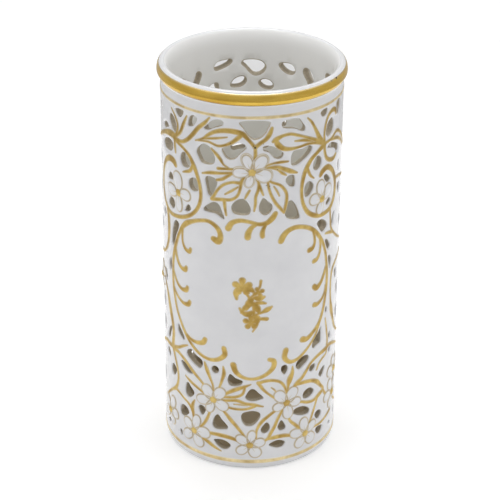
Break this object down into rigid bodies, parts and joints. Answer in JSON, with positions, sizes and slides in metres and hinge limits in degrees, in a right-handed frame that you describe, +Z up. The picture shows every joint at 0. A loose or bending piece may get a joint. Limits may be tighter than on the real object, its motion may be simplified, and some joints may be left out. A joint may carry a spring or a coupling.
{
  "type": "openwork vase",
  "caption": "Tall cylindrical white porcelain vase with pierced openwork walls, raised blossoms, gilded scrolls and a rolled gold-banded mouth.",
  "frame": {"origin": "centre of the foot ring, on the plane the vase stands on", "axes": "+Z up along the vase's axis, and -Y towards the side with the plain panel that is seen first"},
  "size_m": [0.0678, 0.0678, 0.1515],
  "materials": {
    "glazed_porcelain": "clear gloss glaze over white porcelain",
    "flower_porcelain": "clear gloss glaze with thin brown-grey painted outlines and gold centres",
    "bare_foot": "matt unglazed porcelain",
    "gilding": "thin fired gold, brushed on, soft satin",
    "burnished_gold": "burnished fired gold, semi-gloss"
  },
  "bodies": {
    "root": {"foot_ring": "bare_foot", "base_floor": "glazed_porcelain", "pierced_wall": "glazed_porcelain", "rim_roll": "glazed_porcelain", "rim_gold_band": "burnished_gold", "collar_gold_line": "gilding", "foot_gold_line": "gilding", "front_frame_left_gilding": "gilding", "front_frame_right_gilding": "gilding", "front_frame_top_gilding": "gilding", "front_frame_bottom_gilding": "gilding", "front_crown_gilding": "gilding", "front_left_vine_gilding": "gilding", "front_right_vine_gilding": "gilding", "front_side_scroll_gilding": "gilding", "front_lower_left_gilding": "gilding", "front_lower_right_gilding": "gilding", "front_sprig_gilding": "gilding", "front_top_flower": "flower_porcelain", "front_left_vine_flower": "flower_porcelain", "front_right_vine_flower": "flower_porcelain", "front_lower_left_flower": "flower_porcelain", "front_lower_right_flower": "flower_porcelain", "front_bottom_middle_flower": "flower_porcelain", "front_bottom_left_flower": "flower_porcelain", "front_bottom_right_flower": "flower_porcelain", "front_side_left_flower": "flower_porcelain", "front_side_right_flower": "flower_porcelain", "front_side_upper_flower": "flower_porcelain", "front_side_middle_flower": "flower_porcelain", "back_frame_left_gilding": "gilding", "back_frame_right_gilding": "gilding", "back_frame_top_gilding": "gilding", "back_frame_bottom_gilding": "gilding", "back_crown_gilding": "gilding", "back_left_vine_gilding": "gilding", "back_right_vine_gilding": "gilding", "back_side_scroll_gilding": "gilding", "back_lower_left_gilding": "gilding", "back_lower_right_gilding": "gilding", "back_sprig_gilding": "gilding", "back_top_flower": "flower_porcelain", "back_left_vine_flower": "flower_porcelain", "back_right_vine_flower": "flower_porcelain", "back_lower_left_flower": "flower_porcelain", "back_lower_right_flower": "flower_porcelain", "back_bottom_middle_flower": "flower_porcelain", "back_bottom_left_flower": "flower_porcelain", "back_bottom_right_flower": "flower_porcelain", "back_side_left_flower": "flower_porcelain", "back_side_right_flower": "flower_porcelain", "back_side_upper_flower": "flower_porcelain", "back_side_middle_flower": "flower_porcelain"}
  },
  "joints": []
}
